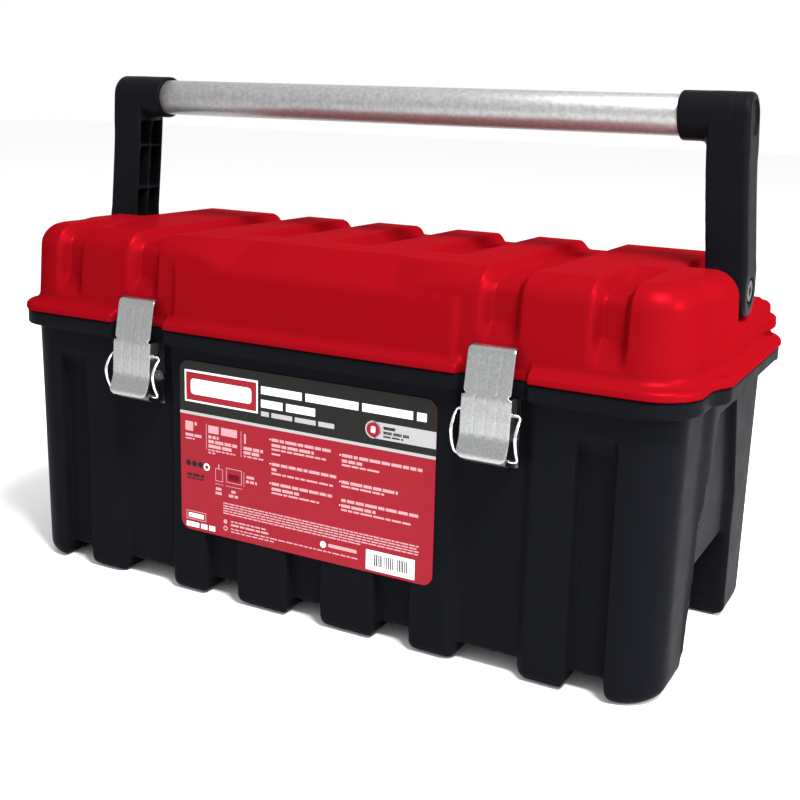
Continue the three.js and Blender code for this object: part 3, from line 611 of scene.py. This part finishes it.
for s_, side in ((-1, "left"), (1, "right")):
    cx = s_ * 110.3
    parts = [latch_plate(cx, "plate_" + side)]
    for e in (1, -1):
        # folded side flange behind each long edge
        xa, xb = (cx + 12.45, cx + 13.3) if e > 0 else (cx - 13.3, cx - 12.45)
        out = [(-106.2, 148.0), (-106.9, 137.0), (-107.3, 128.4), (-105.6, 128.8), (-103.6, 130.4), (-100.6, 133.4), (-99.2, 136.5), (-99.0, 140.0), (-99.1, 146.4), (-100.2, 147.8)]
        n_ = len(out)
        vs = [(xa, y, z) for y, z in out] + [(xb, y, z) for y, z in out]
        fs = [tuple(range(n_)), tuple(range(2 * n_ - 1, n_ - 1, -1))] + [(k, n_ + k, n_ + (k + 1) % n_, (k + 1) % n_) for k in range(n_)]
        parts.append(mesh_object("flange", vs, fs, ZINC, smooth=False))
    plate = join("plate_" + side, parts)
    bm = bmesh.new()
    bm.from_mesh(plate.data)
    bmesh.ops.recalc_face_normals(bm, faces=bm.faces)
    bm.to_mesh(plate.data)
    bm.free()
    bevel(plate, 0.18, 2, 40)
    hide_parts("latch_plate_" + side)
    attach(plate, "latch_lever_" + side)
    w = 17.0
    path = [(cx - 10.6, -101.8, 139.5), (cx - w, -101.8, 139.5), (cx - w, -106.6, 135.6), (cx - w, -109.3, 130.4), (cx - w, -107.6, 123.4), (cx - w, -103.8, 117.0),
            (cx + w, -103.8, 117.0), (cx + w, -107.6, 123.4), (cx + w, -109.3, 130.4), (cx + w, -106.6, 135.6), (cx + w, -101.8, 139.5), (cx + 10.6, -101.8, 139.5)]
    wire = sweep("bail_" + side, path, 0.88, STEEL, bend=2.6)
    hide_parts("latch_wire_" + side)
    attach(wire, "latch_link_" + side)

# the latch brackets take the darkened metal whose colour is painted shade
for node in [n for n in NODES if n.startswith("latch_") or n in ("hinge_pin", "tray", "label")]:
    m = {"latch_pl": ZINC, "latch_wi": STEEL, "latch_br": DARK, "latch_ri": STEEL, "hinge_pi": PIN, "tray": TRAYM, "label": L_RED}[node[:8] if node not in ("tray", "label") else node]
    NODES[node].data.materials.clear()
    NODES[node].data.materials.append(m)

# ------------------------------------------------------------------ label
LX0, LX1, LZ0, LZ1 = -82.7, 80.2, 39.7, 140.0


def film_y(z, d):
    return -96.3 - 1.4 * (z - 9) / 138.6 - 0.7 - d


class Print:
    """Flat printed shapes on the label, each a polygon a few hundredths of a millimetre proud of the film."""

    def __init__(self):
        self.v, self.f, self.m = [], [], []

    def poly(self, pts, mat, d):
        n = len(self.v)
        for px, pz in pts:
            self.v.append((px, film_y(pz, d), pz))
        self.f.append(tuple(range(n, n + len(pts))))
        self.m.append(mat)

    def rect(self, u0, v0, u1, v1, mat, d=0.05, r=0.0):
        x0, x1 = LX0 + (LX1 - LX0) * u0, LX0 + (LX1 - LX0) * u1
        z1, z0 = LZ1 - (LZ1 - LZ0) * v0, LZ1 - (LZ1 - LZ0) * v1
        self.poly(round_rect(x0, z0, x1, z1, r), mat, d)

    def disc(self, u, v, r, mat, d=0.05):
        cx, cz = LX0 + (LX1 - LX0) * u, LZ1 - (LZ1 - LZ0) * v
        self.poly([(cx + r * math.cos(2 * math.pi * k / 40), cz + r * math.sin(2 * math.pi * k / 40)) for k in range(40)], mat, d)

    def line(self, u0, u1, v, h, mat, rng, word=0.028, gap=0.0045, d=0.05):
        """A line of plain bars in place of words."""
        u = u0
        while u < u1 - 0.006:
            w = word * (0.45 + 0.9 * rng.random())
            e = min(u1, u + w)
            self.rect(u, v, e, v + h, mat, d)
            u = e + gap


def round_rect(x0, z0, x1, z1, r):
    if r <= 0:
        return [(x0, z0), (x1, z0), (x1, z1), (x0, z1)]
    out = []
    for cx, cz, a0 in ((x1 - r, z0 + r, -90), (x1 - r, z1 - r, 0), (x0 + r, z1 - r, 90), (x0 + r, z0 + r, 180)):
        for k in range(9):
            a = math.radians(a0 + 90 * k / 8)
            out.append((cx + r * math.cos(a), cz + r * math.sin(a)))
    return out


outline = round_rect(LX0, LZ0, LX1, LZ1, 6.0)
n = len(outline)
verts = [(px, film_y(pz, -0.02), pz) for px, pz in outline] + [(px, film_y(pz, -0.38), pz) for px, pz in outline]
faces = [tuple(range(n)), tuple(range(2 * n - 1, n - 1, -1))] + [(k, n + k, n + (k + 1) % n, (k + 1) % n) for k in range(n)]
label = mesh_object("label_film", verts, faces, L_RED, smooth=False)
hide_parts("label")
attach(label, "case")

P = Print()
RNG = np.random.default_rng(7)
RED_, DARK_, GREY_, WHITE_, INK_, PALE_ = range(6)
# dark heading band with its pale rule
zb = LZ1 - (LZ1 - LZ0) * 0.296
top = [p for p in round_rect(LX0, LZ0, LX1, LZ1, 6.0) if p[1] > LZ1 - 8]
P.poly([(LX0, zb), (LX1, zb)] + top, DARK_, 0.02)
P.rect(0, 0.294, 1, 0.311, GREY_, 0.05)
# framed blank panel
P.rect(0.022, 0.052, 0.329, 0.236, WHITE_, 0.05)
P.rect(0.028, 0.064, 0.323, 0.226, RED_, 0.08)
P.rect(0.048, 0.100, 0.303, 0.190, WHITE_, 0.11, r=2.2)
# heading lines
P.line(0.342, 0.965, 0.078, 0.044, WHITE_, RNG, word=0.16, gap=0.014)
P.line(0.342, 0.556, 0.153, 0.044, WHITE_, RNG, word=0.12, gap=0.014)
P.line(0.342, 0.641, 0.219, 0.027, GREY_, RNG, word=0.07, gap=0.010)
# pale tab with a round mark
P.rect(0.775, 0.165, 1.0, 0.255, GREY_, 0.05)
P.disc(0.775, 0.210, 4.75, GREY_, 0.05)
P.disc(0.775, 0.210, 3.95, RED_, 0.08)
P.rect(0.767, 0.192, 0.783, 0.228, WHITE_, 0.11, r=0.8)
P.line(0.812, 0.855, 0.184, 0.016, INK_, RNG, word=0.06)
P.line(0.812, 0.905, 0.209, 0.016, INK_, RNG, word=0.045)
P.line(0.812, 0.885, 0.233, 0.009, INK_, RNG, word=0.03)
# three small columns of figures and notes
P.rect(0.022, 0.352, 0.056, 0.408, PALE_, r=0.6)
P.rect(0.062, 0.352, 0.072, 0.372, PALE_)
P.line(0.022, 0.100, 0.424, 0.017, PALE_, RNG, word=0.03)
P.line(0.022, 0.062, 0.449, 0.009, PALE_, RNG, word=0.02)
P.rect(0.1115, 0.350, 0.1135, 0.500, PALE_)
P.line(0.121, 0.243, 0.356, 0.045, PALE_, RNG, word=0.075, gap=0.010)
P.line(0.121, 0.165, 0.414, 0.018, PALE_, RNG)
P.line(0.121, 0.243, 0.440, 0.019, PALE_, RNG)
P.line(0.121, 0.223, 0.467, 0.019, PALE_, RNG, word=0.06)
P.line(0.121, 0.235, 0.495, 0.009, PALE_, RNG, word=0.02)
P.line(0.121, 0.150, 0.511, 0.009, PALE_, RNG, word=0.02)
P.rect(0.2585, 0.355, 0.2605, 0.505, PALE_)
P.rect(0.272, 0.366, 0.280, 0.424, PALE_, r=0.4)
P.line(0.270, 0.350, 0.440, 0.018, PALE_, RNG)
P.line(0.270, 0.343, 0.465, 0.018, PALE_, RNG)
P.line(0.270, 0.352, 0.491, 0.009, PALE_, RNG, word=0.02)
# round signs and two outline figures
for k, u in enumerate((0.034, 0.060, 0.086)):
    P.disc(u, 0.600, 1.75, INK_)
P.disc(0.113, 0.605, 2.15, WHITE_)
P.disc(0.113, 0.605, 1.15, RED_, 0.08)
P.line(0.028, 0.106, 0.660, 0.014, INK_, RNG)
P.line(0.028, 0.100, 0.683, 0.009, INK_, RNG, word=0.02)
for u0, v0, u1, v1 in ((0.150, 0.600, 0.182, 0.675), (0.196, 0.585, 0.262, 0.670), (0.204, 0.615, 0.254, 0.660)):
    P.rect(u0, v0, u1, v1, PALE_)
    P.rect(u0 + 0.0022, v0 + 0.0036, u1 - 0.0022, v1 - 0.0036, RED_, 0.08)
P.rect(0.163, 0.575, 0.167, 0.600, PALE_)
P.rect(0.148, 0.690, 0.184, 0.693, PALE_)
P.rect(0.194, 0.690, 0.264, 0.693, PALE_)
P.rect(0.270, 0.590, 0.2718, 0.675, PALE_)
P.line(0.152, 0.180, 0.712, 0.016, PALE_, RNG, word=0.03)
P.line(0.150, 0.186, 0.738, 0.016, PALE_, RNG, word=0.02)
P.line(0.218, 0.236, 0.712, 0.016, PALE_, RNG, word=0.03)
P.line(0.207, 0.246, 0.738, 0.016, PALE_, RNG, word=0.02)
P.line(0.282, 0.320, 0.607, 0.016, PALE_, RNG, word=0.03)
P.line(0.280, 0.325, 0.633, 0.016, PALE_, RNG, word=0.02)
# two columns of notes
for u0, rows in ((0.385, ((0.362, 0.618, 1), (0.392, 0.553, 1), (0.418, 0.600, 0), (0.444, 0.430, 0), (0.500, 0.640, 1), (0.530, 0.405, 1), (0.556, 0.628, 0), (0.612, 0.625, 1), (0.642, 0.500, 1), (0.668, 0.575, 0))),
                 (0.660, ((0.372, 0.955, 1), (0.402, 0.737, 1), (0.428, 0.805, 0), (0.520, 0.870, 1), (0.546, 0.820, 0), (0.622, 0.945, 1), (0.652, 0.790, 1), (0.678, 0.925, 0)))):
    for v, u1, strong in rows:
        P.line(u0, u1, v, 0.017 if strong else 0.011, PALE_, RNG, word=0.034)
    for v in [r[0] for r in rows if r[2]][::2]:
        P.disc(u0 - 0.006, v + 0.008, 0.35, WHITE_)
# small print
for k, v in enumerate((0.792, 0.811, 0.830, 0.849, 0.868)):
    P.line(0.183, 0.950 if k < 4 else 0.735, v - 0.004 * k, 0.0075, PALE_, RNG, word=0.022, gap=0.003)
P.disc(0.192, 0.905, 1.3, PALE_)
P.disc(0.192, 0.945, 1.5, PALE_)
P.disc(0.192, 0.945, 0.8, RED_, 0.08)
P.line(0.215, 0.370, 0.893, 0.009, PALE_, RNG, word=0.022)
P.line(0.215, 0.372, 0.912, 0.012, PALE_, RNG, word=0.03)
P.line(0.215, 0.735, 0.938, 0.0075, PALE_, RNG, word=0.022)
P.line(0.215, 0.395, 0.955, 0.0075, PALE_, RNG, word=0.022)
P.disc(0.592, 0.905, 1.9, WHITE_)
P.rect(0.612, 0.893, 0.722, 0.913, PALE_, r=0.6)
# bottom left box and line
P.rect(0.022, 0.885, 0.108, 0.938, PALE_)
P.rect(0.0245, 0.889, 0.1055, 0.934, RED_, 0.08)
P.rect(0.032, 0.898, 0.098, 0.925, WHITE_, 0.11, r=0.5)
P.line(0.022, 0.150, 0.952, 0.030, WHITE_, RNG, word=0.045, gap=0.008)
# bar pattern
P.rect(0.757, 0.873, 0.937, 0.985, WHITE_)
u = 0.782
while u < 0.912:
    w = 0.0014 + 0.0034 * RNG.random()
    P.rect(u, 0.893, min(0.914, u + w), 0.958, INK_, 0.08)
    u += w + 0.0016 + 0.003 * RNG.random()
prints = mesh_object("label_print", P.v, P.f, [L_RED, L_DARK, L_GREY, L_WHITE, L_INK, L_LIGHTRED], smooth=False, mat_index=P.m)
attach(prints, "case")

# ------------------------------------------------------------------ stage, light and camera
floor_mat, nt, b, co = material("studio_white", (0.94, 0.94, 0.94), 0.6, spec=0.1, bump=[])
bpy.ops.mesh.primitive_plane_add(size=14, location=(0, 0, 0))
floor = bpy.context.active_object
floor.name = "floor"
floor.data.materials.append(floor_mat)

world = bpy.data.worlds.new("studio")
bpy.context.scene.world = world
world.use_nodes = True
world.node_tree.nodes["Background"].inputs["Color"].default_value = (1, 1, 1, 1)
world.node_tree.nodes["Background"].inputs["Strength"].default_value = 1.0


def area(name, loc, target, size, power, size_y=None):
    l = bpy.data.lights.new(name, "AREA")
    l.energy = power
    l.size = size
    if size_y:
        l.shape = "RECTANGLE"
        l.size_y = size_y
    o = bpy.data.objects.new(name, l)
    o.location = loc
    o.rotation_euler = (Vector(target) - Vector(loc)).to_track_quat("-Z", "Y").to_euler()
    bpy.context.scene.collection.objects.link(o)
    return o


area("key", (0.70, -0.47, 1.50), (0.1, 0, 0.17), 0.42, 50)
area("side", (1.35, -0.1, 0.75), (0.2, 0, 0.15), 0.45, 14)

yaw, pitch, roll = (math.radians(a) for a in (27.644, 11.202, 1.724))
fwd = Vector((-math.sin(yaw) * math.cos(pitch), math.cos(yaw) * math.cos(pitch), -math.sin(pitch)))
right = Vector((math.cos(yaw), math.sin(yaw), 0))
up = right.cross(fwd)
r2 = math.cos(roll) * right + math.sin(roll) * up
u2 = -math.sin(roll) * right + math.cos(roll) * up
cam = bpy.data.cameras.new("camera")
cam.sensor_width = 36
cam.lens = 53.02
cam.shift_x = -0.0091
cam.shift_y = -0.0893
cam.clip_start = 0.01
cam_ob = bpy.data.objects.new("camera", cam)
m = Matrix.Identity(4)
for i, v in enumerate((r2, u2, -fwd)):
    m[0][i], m[1][i], m[2][i] = v
m[0][3], m[1][3], m[2][3] = 0.33167, (-613.47 + YS) * 0.001, 0.28985
cam_ob.matrix_world = m
bpy.context.scene.collection.objects.link(cam_ob)
bpy.context.scene.camera = cam_ob

bpy.context.scene.view_settings.view_transform = "Standard"
bpy.context.view_layer.update()
